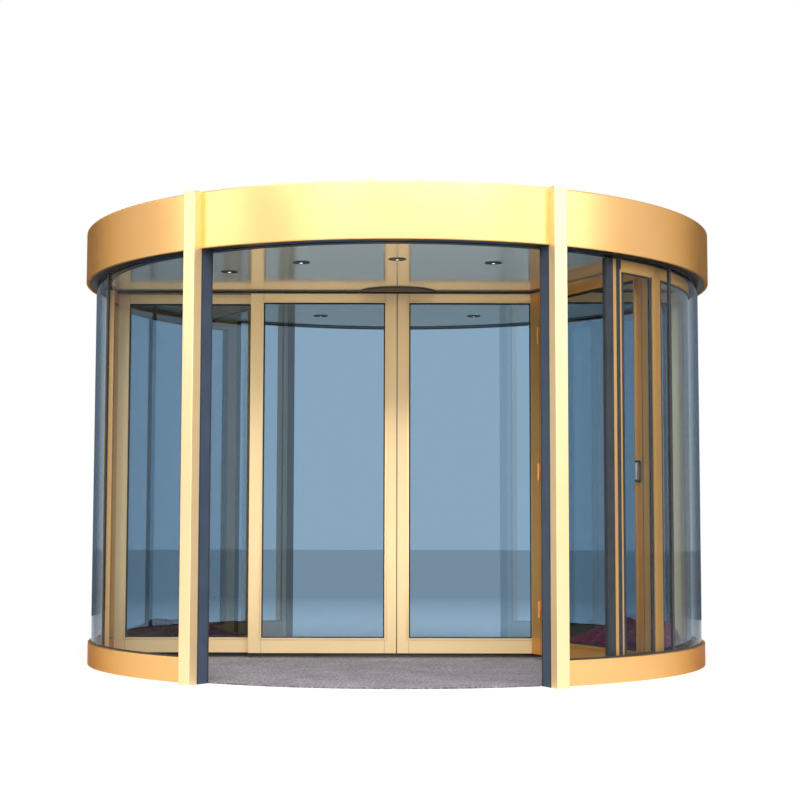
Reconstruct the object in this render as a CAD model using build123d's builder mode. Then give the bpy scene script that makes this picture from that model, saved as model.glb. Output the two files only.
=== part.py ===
from build123d import *
from math import asin, cos, degrees, radians, sin, sqrt
import os

# Automatic two-wing revolving door with a bi-parting sliding door in its middle wall.
# Millimetres, +Z up. The origin is on the floor on the turning axis and -Y is the front.
# Azimuths are in degrees from the front, growing anticlockwise as seen from above.

# ---- overall ----
canopy_radius = 1855.0
soffit_height = 2208.0
fascia_height = 295.0
rotor_rest_angle = 4.2

# ---- curved drum wall ----
canopy_overhang = 60.0
drum_glass_thickness = 12.0
base_height = 127.0
base_projection = 19.0
base_ledge = 26.0
base_edge_radius = 4.0
joint_azimuths = (60.0, 111.0)
joint_width = 25.0
joint_proud = 2.0

# ---- posts beside the two openings ----
post_azimuth = 29.74
post_width = 72.0
post_depth = 60.0
post_proud = 50.0
post_edge_radius = 4.0
post_web = 22.0
safety_edge_radius = 10.0

# ---- canopy and floor mat ----
fascia_sheet = 3.0
fascia_drop = 3.0
fascia_top_bend = 9.0
fascia_lip_bend = 4.0
roof_thickness = 12.0
roof_edge_gap = 2.0
roof_lap = 16.0
soffit_sheet = 4.0
soffit_edge_gap = 10.0
soffit_lap = 6.0
soffit_setback = 5.0
post_notch_gap = 0.5
track_ring_height = 24.0
track_ring_width = 38.0
entry_mat_thickness = 7.0
entry_mat_gap = 0.3

# ---- rotor ceiling ----
running_gap = 7.0
seat_gap = 0.3
rim_width = 50.0
rim_drop = 3.0
rim_flange_thickness = 12.0
rim_flange_lap = 33.0
ceiling_thickness = 18.0
hub_radius = 235.0
hub_thickness = 5.0
light_can_radius = 42.5
light_hole_gap = 0.5
light_bezel = 5.0
light_bezel_drop = 2.5
light_can_height = 45.0
light_inset = 480.0
light_azimuths = (-50.0, -25.0, 0.0, 25.0)

# ---- walls of the rotor ----
frame_bottom = 34.0
head_gap = 11.0
bottom_rail_height = 88.0
floor_clearance = 5.5
brush_thickness = 8.0
rotor_glass_thickness = 10.0
panel_head_rail = 57.0
panel_depth = 44.0
panel_stile = 66.0
leaf_to_panel_gap = 14.0

# ---- sliding leaves ----
leaf_depth = 44.0
leaf_width = 884.0
leaf_bottom = 35.0
leaf_head_gap = 12.0
meeting_gap = 6.0
meeting_stile = 70.0
outer_stile = 78.0
leaf_head_rail = 55.0
track_end_gap = 10.0

# ---- curved wings ----
wing_depth = 45.0
wing_glass_inset = 6.0
wing_head_rail = 64.0
wing_start_azimuth = 38.6
wing_end_azimuth = 95.0
seal_width = 50.0
seal_proud = 5.0
seal_thickness = 36.0
seal_tip_radius = 12.0
tip_stile = 69.0
corner_stile = 91.0
corner_stile_lead = 16.0
trailing_stile = 48.0

# ---- slanted door that closes each showcase ----
slant_angle = 27.0
jamb_lap = 5.0
jamb_length = 90.0
door_depth = 44.0
door_hinge_gap = 5.0
door_end_gap = 7.0
door_hinge_stile = 60.0
door_end_stile = 46.0
slant_end_frame = 18.0
corner_reach = 45.0
handle_height = 1090.0
handle_edge = 24.0
handle_length = 115.0
handle_width = 20.0
handle_stand_off = 18.0
handle_bar = 12.0
handle_foot = 14.0
hinge_radius = 8.0
hinge_axis_offset = 9.0
hinge_pin_radius = 3.0
hinge_pin_gap = 0.3
hinge_plate = 4.0
hinge_plate_width = 28.0
hinge_length = 100.0
hinge_inset = 216.0

# ---- showcase floor ----
display_board_thickness = 18.0
display_gap = 6.0
cloth_thickness = 35.0
cloth_inset = 4.0
cloth_mound_inset = 90.0
right_mound_rise = 105.0
left_mound_rise = 35.0

# ---- drum radii and heights, worked out from the canopy inwards ----
post_outer_radius = canopy_radius + post_proud
post_inner_radius = post_outer_radius - post_depth
glass_outer_radius = canopy_radius - canopy_overhang
glass_inner_radius = glass_outer_radius - drum_glass_thickness
base_outer_radius = glass_outer_radius + base_projection
wall_inner_radius = glass_inner_radius - base_ledge
soffit_inner_radius = wall_inner_radius + soffit_setback
soffit_outer_radius = canopy_radius - fascia_sheet - soffit_edge_gap
fascia_bottom = soffit_height - fascia_drop
total_height = fascia_bottom + fascia_height
roof_top = total_height - fascia_sheet
roof_radius = canopy_radius - fascia_sheet - fascia_top_bend - roof_edge_gap
track_ring_bottom = soffit_height + soffit_sheet
joint_half_angle = degrees(joint_width / 2 / glass_outer_radius)

# ---- rotor radii and heights ----
rim_outer_radius = soffit_inner_radius - running_gap
ceiling_radius = rim_outer_radius - rim_width
rim_bottom = soffit_height - rim_drop
flange_bottom = track_ring_bottom + track_ring_height + seat_gap
light_circle_radius = ceiling_radius - light_inset
seal_outer_radius = wall_inner_radius - running_gap
wing_outer_radius = seal_outer_radius - seal_proud
wing_inner_radius = wing_outer_radius - wing_depth
wing_glass_outer = wing_outer_radius - wing_glass_inset
wing_glass_inner = wing_glass_outer - rotor_glass_thickness
wing_brush_radius = (wing_inner_radius + wing_outer_radius) / 2
frame_top = soffit_height - head_gap
rail_top = frame_bottom + bottom_rail_height
brush_bottom = entry_mat_thickness + floor_clearance

# ---- middle wall, along the rotor's x ----
leaf_top = soffit_height - leaf_head_gap
leaf_track_bottom = leaf_top + seat_gap
leaf_start = meeting_gap / 2
leaf_end = leaf_start + leaf_width
jamb_start = leaf_end - outer_stile
jamb_end = leaf_end + jamb_lap
panel_near = leaf_depth / 2 + leaf_to_panel_gap
panel_far = panel_near + panel_depth
panel_end = sqrt(wing_inner_radius**2 - panel_far**2)
window_end = panel_end - panel_stile
track_end = sqrt(wing_inner_radius**2 - panel_near**2) - track_end_gap

# ---- slanted side, along its own x from the jamb to the wing ----
slant_run = jamb_start * sin(radians(slant_angle)) + panel_near * cos(radians(slant_angle))
slant_length = sqrt(slant_run**2 + wing_inner_radius**2 - jamb_start**2 - panel_near**2) - slant_run
door_start = jamb_length + door_hinge_gap
door_end = slant_length - slant_end_frame - door_end_gap
hinge_line = jamb_length + door_hinge_gap / 2
hinge_half = (hinge_length - seat_gap) / 2
lowest_hinge = frame_bottom + hinge_inset
highest_hinge = frame_top - hinge_inset - hinge_length
hinge_heights = (lowest_hinge, (lowest_hinge + highest_hinge) / 2, highest_hinge)
handle_line = door_end - handle_edge
handle_foot_spread = handle_length - 2 * handle_foot


def arc_angle(length):
    """Degrees that a length takes up on the outside of a wing."""
    return degrees(length / wing_outer_radius)


# ---- azimuths of the wing's uprights ----
corner_x = jamb_start + slant_length * sin(radians(slant_angle))
corner_start = degrees(asin(corner_x / wing_inner_radius)) + arc_angle(corner_stile_lead)
corner_end = corner_start + arc_angle(corner_stile)
tip_start = wing_start_azimuth + arc_angle(seal_width)
tip_end = tip_start + arc_angle(tip_stile)
wall_stile_start = 90 - degrees(asin(panel_far / wing_inner_radius))
wall_stile_end = 90 - degrees(asin(panel_near / wing_inner_radius))
trailing_start = wing_end_azimuth - arc_angle(trailing_stile)

sides = (("right", 0), ("left", 180))
posts = (
    ("front_right", post_azimuth, 1),
    ("front_left", -post_azimuth, -1),
    ("rear_right", 180 - post_azimuth, -1),
    ("rear_left", post_azimuth - 180, 1),
)


def radial_plane(azimuth, height=0):
    """Level plane on the axis with x pointing out along an azimuth."""
    angle = radians(azimuth)
    return Plane((0, 0, height), x_dir=(sin(angle), -cos(angle), 0), z_dir=(0, 0, 1))


def rotor_plane(turn, height=0):
    """Level plane of the rotor as it rests, with x along its middle wall."""
    return radial_plane(90 + rotor_rest_angle + turn, height)


def slant_plane(turn, height=0):
    """Level plane with x along the passage face of a slanted door, y into the showcase."""
    rotor = rotor_plane(turn, height)
    origin = rotor.from_local_coords((jamb_start, -panel_near, 0))
    along = radial_plane(rotor_rest_angle + turn + slant_angle).x_dir
    return Plane(origin, x_dir=along, z_dir=(0, 0, 1))


def upright(level, depth=0):
    """Upright plane over the x line of a level one, shifted along the level one's y."""
    return Plane(level.from_local_coords((0, depth, 0)), x_dir=level.x_dir, z_dir=-level.y_dir)


def slant_point(along, depth):
    """Point of the slanted side in the rotor's plane."""
    angle = radians(slant_angle)
    x = jamb_start + along * sin(angle) + depth * cos(angle)
    y = -panel_near - along * cos(angle) + depth * sin(angle)
    return (x, y)


def span(left, bottom, right, top):
    """Rectangle between two corners."""
    with BuildSketch() as area:
        with Locations((left, bottom)):
            Rectangle(right - left, top - bottom, align=Align.MIN)
    return area.sketch


def ring_sector(inner, outer, start, end):
    """Part of a ring between two azimuths."""
    with BuildSketch() as sector:
        with BuildLine():
            inside = CenterArc((0, 0), inner, start - 90, end - start)
            outside = CenterArc((0, 0), outer, start - 90, end - start)
            Line(inside @ 0, outside @ 0)
            Line(inside @ 1, outside @ 1)
        make_face()
    return sector.sketch


def joint_spans(side):
    """Start and end azimuths of the glass joints of one side, alike on both."""
    for azimuth in joint_azimuths:
        middle = azimuth if side == "right" else 360 - azimuth
        yield middle - joint_half_angle, middle + joint_half_angle


def post_strips():
    """Strips as wide as the posts, cut from whatever runs up to them."""
    with BuildSketch() as strips:
        for post_name, azimuth, web_side in posts:
            with Locations(Location((0, 0, 0), (0, 0, azimuth - 90))):
                Rectangle(post_outer_radius, post_width, align=(Align.MIN, Align.CENTER))
    return strips.sketch


def post_notches():
    """Plan of the posts' face blocks with a little room, cut from the soffit and the roof."""
    notch_start = post_inner_radius - post_notch_gap
    with BuildSketch() as notches:
        for post_name, azimuth, web_side in posts:
            with Locations(Location((0, 0, 0), (0, 0, azimuth - 90))):
                with Locations((notch_start, 0)):
                    notch_width = post_width + 2 * post_notch_gap
                    Rectangle(post_depth, notch_width, align=(Align.MIN, Align.CENTER))
    return notches.sketch


def wall_sector(inner, outer, turn):
    """Part of a ring from the front post of one side to its rear post."""
    with BuildSketch() as sector:
        add(ring_sector(inner, outer, turn + post_azimuth, turn + 180 - post_azimuth))
        add(post_strips(), mode=Mode.SUBTRACT)
    return sector.sketch


def corner_profile():
    """Plan of the post where the slanted side meets the curved wing."""
    frame_start = slant_length - slant_end_frame
    frame_end = slant_length + corner_reach
    corners = ((frame_start, 0), (frame_end, 0), (frame_end, door_depth), (frame_start, door_depth))
    with BuildSketch() as corner:
        Polygon(*[slant_point(along, depth) for along, depth in corners], align=None)
        Circle(wing_glass_inner, mode=Mode.INTERSECT)
        add(ring_sector(wing_inner_radius, wing_outer_radius, corner_start, corner_end))
    return corner.sketch


def stile_profiles():
    """Plan of the uprights of one curved wing."""
    with BuildSketch() as stiles:
        add(ring_sector(wing_inner_radius, wing_outer_radius, tip_start, tip_end))
        add(corner_profile())
        add(ring_sector(wing_inner_radius, wing_outer_radius, wall_stile_start, wall_stile_end))
        add(ring_sector(wing_inner_radius, wing_outer_radius, trailing_start, wing_end_azimuth))
    return stiles.sketch


def jamb_profile():
    """Plan of the post between the middle wall and the slanted door."""
    with BuildSketch() as jamb:
        Polygon(
            (jamb_start, -panel_near),
            slant_point(jamb_length, 0),
            slant_point(jamb_length, door_depth),
            (jamb_end, -panel_far),
            (jamb_end, -panel_near),
            align=None,
        )
    return jamb.sketch


def display_area(inset):
    """Plan of the showcase floor, kept clear of the door that opens beside it."""
    depth = door_depth + display_gap + inset
    near = slant_point(jamb_length, depth)
    far = slant_point(2 * slant_length, depth)
    with BuildSketch() as area:
        Polygon(
            near,
            far,
            (2 * wing_outer_radius, -panel_far - inset),
            (near[0], -panel_far - inset),
            align=None,
        )
        Circle(wing_inner_radius - inset, mode=Mode.INTERSECT)
    return area.sketch


def mound_area():
    """Plan of the heap in the middle of a display cloth."""
    inset = cloth_inset + cloth_mound_inset
    depth = door_depth + display_gap + inset
    level = -panel_far - inset
    start = (depth * sin(radians(slant_angle)) - panel_near - level) / cos(radians(slant_angle))
    with BuildSketch() as area:
        Polygon(
            slant_point(start, depth),
            slant_point(2 * slant_length, depth),
            (2 * wing_outer_radius, level),
            align=None,
        )
        Circle(wing_inner_radius - inset, mode=Mode.INTERSECT)
    return area.sketch


def write_piece(piece, name):
    """Label a finished piece and write its STEP file."""
    piece.part.label = name
    export_step(piece.part, f"parts/{name}.step")


os.makedirs("parts", exist_ok=True)

# ---- base rings under the curved glass ----
for side, turn in sides:
    with BuildPart() as base_ring:
        with BuildSketch():
            add(wall_sector(wall_inner_radius, base_outer_radius, turn))
        extrude(amount=base_height)
        rim_edges = base_ring.edges().filter_by(GeomType.CIRCLE).group_by(Axis.Z)[-1]
        fillet(rim_edges.sort_by(SortBy.RADIUS)[-1], base_edge_radius)
    write_piece(base_ring, f"base_ring_{side}")

# ---- posts: a face block and a web that the glass and the base butt against ----
for post_name, azimuth, web_side in posts:
    web_start = min(web_side * post_width / 2, web_side * (post_width / 2 - post_web))
    with BuildPart() as post:
        with BuildSketch(radial_plane(azimuth)):
            add(span(wall_inner_radius, web_start, post_inner_radius, web_start + post_web))
        extrude(amount=soffit_height)
        with BuildSketch(radial_plane(azimuth)):
            add(span(post_inner_radius, -post_width / 2, post_outer_radius, post_width / 2))
            fillet(vertices().group_by(Axis.X)[-1], post_edge_radius)
        extrude(amount=total_height)
    write_piece(post, f"post_{post_name}")

# ---- rubber safety edges on the opening side of each post ----
with BuildPart() as safety_edges:
    for post_name, azimuth, web_side in posts:
        edge_width = post_width - post_web
        edge_start = min(-web_side * post_width / 2, web_side * (post_width / 2 - post_web))
        with BuildSketch(radial_plane(azimuth)):
            add(span(wall_inner_radius, edge_start, post_inner_radius, edge_start + edge_width))
            fillet(vertices().group_by(Axis.X)[0], safety_edge_radius)
        extrude(amount=soffit_height)
write_piece(safety_edges, "safety_edges")

# ---- curved glass of the drum and the upright joints between its panes ----
for side, turn in sides:
    with BuildPart() as drum_glass:
        with BuildSketch(Plane.XY.offset(base_height)):
            add(wall_sector(glass_inner_radius, glass_outer_radius, turn))
            for start, end in joint_spans(side):
                gap = ring_sector(wall_inner_radius, canopy_radius, start, end)
                add(gap, mode=Mode.SUBTRACT)
        extrude(amount=soffit_height - base_height)
    write_piece(drum_glass, f"drum_glass_{side}")

with BuildPart() as glass_joints:
    with BuildSketch(Plane.XY.offset(base_height)):
        for side, turn in sides:
            for start, end in joint_spans(side):
                inner = glass_inner_radius - joint_proud
                add(ring_sector(inner, glass_outer_radius + joint_proud, start, end))
    extrude(amount=soffit_height - base_height)
write_piece(glass_joints, "glass_joints")

# ---- canopy fascia: bent sheet between the posts ----
fascia_lengths = (
    ("front", -post_azimuth, post_azimuth),
    ("right", post_azimuth, 180 - post_azimuth),
    ("rear", 180 - post_azimuth, 180 + post_azimuth),
    ("left", 180 + post_azimuth, 360 - post_azimuth),
)
for fascia_name, start, end in fascia_lengths:
    with BuildPart() as fascia:
        with BuildSketch(upright(radial_plane(start))):
            with BuildLine():
                outer = canopy_radius - fascia_sheet / 2
                FilletPolyline(
                    (soffit_outer_radius - soffit_lap, fascia_bottom + fascia_sheet / 2),
                    (outer, fascia_bottom + fascia_sheet / 2),
                    (outer, total_height - fascia_sheet / 2),
                    (roof_radius - roof_lap, total_height - fascia_sheet / 2),
                    radius=(fascia_lip_bend, fascia_top_bend),
                )
            trace(line_width=fascia_sheet)
        revolve(axis=Axis.Z, revolution_arc=end - start)
        with BuildSketch():
            add(post_strips())
        extrude(amount=total_height, mode=Mode.SUBTRACT)
    write_piece(fascia, f"fascia_{fascia_name}")

# ---- canopy soffit, roof and the ring that carries the rotor ----
with BuildPart() as canopy_soffit:
    with BuildSketch(Plane.XY.offset(soffit_height)):
        Circle(soffit_outer_radius)
        Circle(soffit_inner_radius, mode=Mode.SUBTRACT)
        add(post_notches(), mode=Mode.SUBTRACT)
    extrude(amount=soffit_sheet)
write_piece(canopy_soffit, "canopy_soffit")

with BuildPart() as canopy_roof:
    with BuildSketch(Plane.XY.offset(roof_top - roof_thickness)):
        Circle(roof_radius)
        add(post_notches(), mode=Mode.SUBTRACT)
    extrude(amount=roof_thickness)
write_piece(canopy_roof, "canopy_roof")

with BuildPart() as track_ring:
    with BuildSketch(Plane.XY.offset(track_ring_bottom)):
        Circle(soffit_inner_radius + track_ring_width)
        Circle(soffit_inner_radius, mode=Mode.SUBTRACT)
    extrude(amount=track_ring_height)
write_piece(track_ring, "track_ring")

# ---- entry mat inside the drum ----
with BuildPart() as entry_mat:
    with BuildSketch():
        Circle(wall_inner_radius - entry_mat_gap)
    extrude(amount=entry_mat_thickness)
write_piece(entry_mat, "entry_mat")

# ---- rotor ceiling, its carrying rim, hub cap and downlights ----
with BuildPart() as ceiling_panel:
    with BuildSketch(rotor_plane(0, soffit_height)):
        Circle(ceiling_radius)
        for side, turn in sides:
            for azimuth in light_azimuths:
                with PolarLocations(light_circle_radius, 1, azimuth + turn - 90):
                    Circle(light_can_radius + light_hole_gap, mode=Mode.SUBTRACT)
    extrude(amount=ceiling_thickness)
write_piece(ceiling_panel, "ceiling_panel")

with BuildPart() as ceiling_rim:
    with BuildSketch(Plane.XY.offset(rim_bottom)):
        Circle(rim_outer_radius)
        Circle(ceiling_radius, mode=Mode.SUBTRACT)
    extrude(amount=flange_bottom - rim_bottom)
    with BuildSketch(Plane.XY.offset(flange_bottom)):
        Circle(soffit_inner_radius + rim_flange_lap)
        Circle(ceiling_radius, mode=Mode.SUBTRACT)
    extrude(amount=rim_flange_thickness)
write_piece(ceiling_rim, "ceiling_rim")

with BuildPart() as hub_cap:
    with BuildSketch(rotor_plane(0, soffit_height)):
        Circle(hub_radius)
        Rectangle(2 * hub_radius, 2 * panel_near, mode=Mode.SUBTRACT)
    extrude(amount=-hub_thickness)
write_piece(hub_cap, "hub_cap")

with BuildPart() as downlights:
    for side, turn in sides:
        for azimuth in light_azimuths:
            with BuildSketch(rotor_plane(turn, soffit_height)):
                with PolarLocations(light_circle_radius, 1, azimuth - 90):
                    Circle(light_can_radius)
            extrude(amount=light_can_height)
            with BuildSketch(rotor_plane(turn, soffit_height - light_bezel_drop)):
                with PolarLocations(light_circle_radius, 1, azimuth - 90):
                    Circle(light_can_radius + light_bezel)
            extrude(amount=light_bezel_drop)
write_piece(downlights, "downlights")

# ---- head track over the middle wall and head seals over the wings ----
with BuildPart() as head_track:
    with BuildSketch(rotor_plane(0, leaf_track_bottom)):
        Rectangle(2 * track_end, 2 * panel_near)
    extrude(amount=soffit_height - leaf_track_bottom)
    for side, turn in sides:
        with BuildSketch(rotor_plane(turn, frame_top)):
            add(span(jamb_end, -panel_far, track_end, -panel_near))
            add(jamb_profile())
        extrude(amount=soffit_height - frame_top)
write_piece(head_track, "head_track")

with BuildPart() as wing_head_seals:
    for side, turn in sides:
        with BuildSketch(rotor_plane(turn, frame_top)):
            add(ring_sector(wing_inner_radius, wing_outer_radius, tip_start, wing_end_azimuth))
        extrude(amount=rim_bottom - frame_top)
write_piece(wing_head_seals, "wing_head_seals")

# ---- fixed side panels of the middle wall ----
for side, turn in sides:
    with BuildPart() as side_panel:
        with BuildSketch(upright(rotor_plane(turn), -panel_near)):
            add(span(jamb_end, frame_bottom, panel_end, frame_top))
            window = span(jamb_end, rail_top, window_end, frame_top - panel_head_rail)
            add(window, mode=Mode.SUBTRACT)
        extrude(amount=panel_depth)
    write_piece(side_panel, f"side_panel_{side}")

with BuildPart() as side_panel_glass:
    glass_face = panel_near + (panel_depth - rotor_glass_thickness) / 2
    for side, turn in sides:
        with BuildSketch(upright(rotor_plane(turn), -glass_face)):
            add(span(jamb_end, rail_top, window_end, frame_top - panel_head_rail))
        extrude(amount=rotor_glass_thickness)
write_piece(side_panel_glass, "side_panel_glass")

# ---- jamb posts, with the fixed half of each door hinge ----
with BuildPart() as jamb_posts:
    for side, turn in sides:
        with BuildSketch(rotor_plane(turn, frame_bottom)):
            add(jamb_profile())
        extrude(amount=frame_top - frame_bottom)
        for height in hinge_heights:
            with BuildSketch(slant_plane(turn, height)):
                plate_start = hinge_line - hinge_plate_width
                add(span(plate_start, -hinge_plate, hinge_line, 0))
                with Locations((hinge_line, -hinge_axis_offset)):
                    Circle(hinge_radius)
            extrude(amount=hinge_half)
            with BuildSketch(slant_plane(turn, height + hinge_half)):
                with Locations((hinge_line, -hinge_axis_offset)):
                    Circle(hinge_pin_radius)
            extrude(amount=hinge_half)
write_piece(jamb_posts, "jamb_posts")

# ---- curved wings: rails, uprights, glass and the rubber leading edge ----
for side, turn in sides:
    with BuildPart() as wing_rails:
        head_bottom = frame_top - wing_head_rail
        for bottom, height in ((frame_bottom, bottom_rail_height), (head_bottom, wing_head_rail)):
            with BuildSketch(rotor_plane(turn, bottom)):
                add(ring_sector(wing_inner_radius, wing_outer_radius, tip_start, wing_end_azimuth))
                add(stile_profiles(), mode=Mode.SUBTRACT)
            extrude(amount=height)
    write_piece(wing_rails, f"wing_rails_{side}")

    with BuildPart() as wing_stiles:
        with BuildSketch(rotor_plane(turn, frame_bottom)):
            add(stile_profiles())
        extrude(amount=frame_top - frame_bottom)
    write_piece(wing_stiles, f"wing_stiles_{side}")

    with BuildPart() as wing_glass:
        with BuildSketch(rotor_plane(turn, rail_top)):
            add(ring_sector(wing_glass_inner, wing_glass_outer, tip_start, wing_end_azimuth))
            add(stile_profiles(), mode=Mode.SUBTRACT)
        extrude(amount=frame_top - wing_head_rail - rail_top)
    write_piece(wing_glass, f"wing_glass_{side}")

with BuildPart() as wing_seals:
    for side, turn in sides:
        with BuildSketch(rotor_plane(turn, brush_bottom)):
            inner = seal_outer_radius - seal_thickness
            add(ring_sector(inner, seal_outer_radius, wing_start_azimuth, tip_start))
            tip_corners = vertices().sort_by(Axis.Y)[:2]
            fillet(tip_corners, seal_tip_radius)
        extrude(amount=frame_top - brush_bottom)
write_piece(wing_seals, "wing_seals")

# ---- brushes under the fixed panels and the wings ----
with BuildPart() as floor_brushes:
    for side, turn in sides:
        with BuildSketch(rotor_plane(turn, brush_bottom)):
            panel_middle = (panel_near + panel_far) / 2
            brush_near = panel_middle - brush_thickness / 2
            add(span(jamb_end, -brush_near - brush_thickness, panel_end, -brush_near))
            inner = wing_brush_radius - brush_thickness / 2
            add(ring_sector(inner, inner + brush_thickness, tip_start, wing_end_azimuth))
        extrude(amount=frame_bottom - brush_bottom)
write_piece(floor_brushes, "floor_brushes")

# ---- showcase floors and the cloth laid on them ----
with BuildPart() as display_boards:
    for side, turn in sides:
        with BuildSketch(rotor_plane(turn, rail_top - display_board_thickness)):
            add(display_area(0))
        extrude(amount=display_board_thickness)
write_piece(display_boards, "display_boards")

for side, turn in sides:
    with BuildPart() as display_cloth:
        with BuildSketch(rotor_plane(turn, rail_top)):
            add(display_area(cloth_inset))
        extrude(amount=cloth_thickness)
        with BuildSketch(rotor_plane(turn, rail_top + cloth_thickness)):
            add(mound_area())
        extrude(amount=right_mound_rise if side == "right" else left_mound_rise)
    write_piece(display_cloth, f"display_cloth_{side}")

# ---- slanted showcase doors: framed glass, moving hinge halves and a pull handle ----
for side, turn in sides:
    window = span(
        door_start + door_hinge_stile, rail_top, door_end - door_end_stile, frame_top - wing_head_rail
    )
    with BuildPart() as showcase_door:
        with BuildSketch(upright(slant_plane(turn), door_depth)):
            add(span(door_start, frame_bottom, door_end, frame_top))
            add(window, mode=Mode.SUBTRACT)
        extrude(amount=door_depth)
        for height in hinge_heights:
            with BuildSketch(slant_plane(turn, height + hinge_half + seat_gap)):
                add(span(hinge_line, -hinge_plate, hinge_line + hinge_plate_width, 0))
                with Locations((hinge_line, -hinge_axis_offset)):
                    Circle(hinge_radius)
                    Circle(hinge_pin_radius + hinge_pin_gap, mode=Mode.SUBTRACT)
            extrude(amount=hinge_half)
    write_piece(showcase_door, f"showcase_door_{side}")

    with BuildPart() as showcase_door_glass:
        glass_back = (door_depth + rotor_glass_thickness) / 2
        with BuildSketch(upright(slant_plane(turn), glass_back)):
            add(window)
        extrude(amount=rotor_glass_thickness)
    write_piece(showcase_door_glass, f"showcase_door_glass_{side}")

    with BuildPart() as showcase_handle:
        with BuildSketch(upright(slant_plane(turn))):
            with Locations((handle_line, handle_height)):
                with GridLocations(0, handle_foot_spread, 1, 2):
                    Rectangle(handle_foot, handle_foot)
        extrude(amount=handle_stand_off)
        with BuildSketch(upright(slant_plane(turn), -handle_stand_off)):
            with Locations((handle_line, handle_height)):
                Rectangle(handle_width, handle_length)
        extrude(amount=handle_bar)
    write_piece(showcase_handle, f"showcase_handle_{side}")

# ---- sliding leaves: frame, glass and the brush along the bottom ----
for side, turn in sides:
    window = span(
        leaf_start + meeting_stile,
        leaf_bottom + bottom_rail_height,
        leaf_end - outer_stile,
        leaf_top - leaf_head_rail,
    )
    with BuildPart() as leaf_frame:
        with BuildSketch(upright(rotor_plane(turn), leaf_depth / 2)):
            add(span(leaf_start, leaf_bottom, leaf_end, leaf_top))
            add(window, mode=Mode.SUBTRACT)
        extrude(amount=leaf_depth)
    write_piece(leaf_frame, f"leaf_frame_{side}")

    with BuildPart() as leaf_glass:
        with BuildSketch(upright(rotor_plane(turn), rotor_glass_thickness / 2)):
            add(window)
        extrude(amount=rotor_glass_thickness)
    write_piece(leaf_glass, f"leaf_glass_{side}")

    with BuildPart() as leaf_sweep:
        with BuildSketch(rotor_plane(turn, brush_bottom)):
            add(span(leaf_start, -brush_thickness / 2, leaf_end, brush_thickness / 2))
        extrude(amount=leaf_bottom - brush_bottom)
    write_piece(leaf_sweep, f"leaf_sweep_{side}")
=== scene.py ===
import math

import bpy
from mathutils import Matrix, Vector


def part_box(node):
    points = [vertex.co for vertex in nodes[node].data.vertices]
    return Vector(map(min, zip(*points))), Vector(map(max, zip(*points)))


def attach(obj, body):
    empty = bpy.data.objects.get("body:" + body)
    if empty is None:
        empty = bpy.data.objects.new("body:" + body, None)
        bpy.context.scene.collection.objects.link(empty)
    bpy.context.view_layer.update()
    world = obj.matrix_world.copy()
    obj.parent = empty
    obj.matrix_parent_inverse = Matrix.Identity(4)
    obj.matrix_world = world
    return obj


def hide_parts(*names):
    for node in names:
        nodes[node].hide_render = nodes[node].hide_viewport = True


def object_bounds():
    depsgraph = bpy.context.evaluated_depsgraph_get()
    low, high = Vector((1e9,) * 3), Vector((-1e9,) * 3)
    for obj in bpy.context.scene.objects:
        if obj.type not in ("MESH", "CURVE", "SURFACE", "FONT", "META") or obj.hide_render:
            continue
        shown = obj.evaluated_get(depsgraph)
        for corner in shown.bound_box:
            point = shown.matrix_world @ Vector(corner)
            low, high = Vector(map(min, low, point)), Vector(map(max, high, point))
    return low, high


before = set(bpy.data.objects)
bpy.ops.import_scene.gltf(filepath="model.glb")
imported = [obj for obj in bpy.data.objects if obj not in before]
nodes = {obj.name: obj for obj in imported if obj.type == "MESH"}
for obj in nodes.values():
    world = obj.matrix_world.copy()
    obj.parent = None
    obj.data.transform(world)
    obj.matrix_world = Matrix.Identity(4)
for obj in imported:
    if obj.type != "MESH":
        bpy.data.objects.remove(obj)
cad_box = [list(corner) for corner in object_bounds()]

# ---- Camera -----------------------------------------------------------------
# It stands at chest height in front of the door, a little to the right of the
# drum's own middle line, and looks slightly up at the canopy.
camera_distance = 9.638
camera_height = 0.805
camera_bearing = 4.2
look_up = 4.43
look_aside = 0.107
camera_roll = 0.113
camera_lens = 71.9
sensor_width = 36
stand = Matrix.Rotation(math.radians(camera_bearing), 4, "Z")
looking = stand @ Vector(
    (
        math.sin(math.radians(look_aside)) * math.cos(math.radians(look_up)),
        math.cos(math.radians(look_aside)) * math.cos(math.radians(look_up)),
        math.sin(math.radians(look_up)),
    )
)
bpy.ops.object.select_all(action="DESELECT")
bpy.ops.object.camera_add(location=stand @ Vector((0, -camera_distance, camera_height)))
camera = bpy.context.object
camera.data.sensor_width = sensor_width
camera.data.lens = camera_lens
camera.rotation_mode = "QUATERNION"
level_view = looking.to_track_quat("-Z", "Y").to_matrix().to_4x4()
rolled = level_view @ Matrix.Rotation(math.radians(camera_roll), 4, "Z")
camera.rotation_quaternion = rolled.to_quaternion()
bpy.context.scene.camera = camera
bpy.context.scene.view_settings.view_transform = "Standard"


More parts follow.
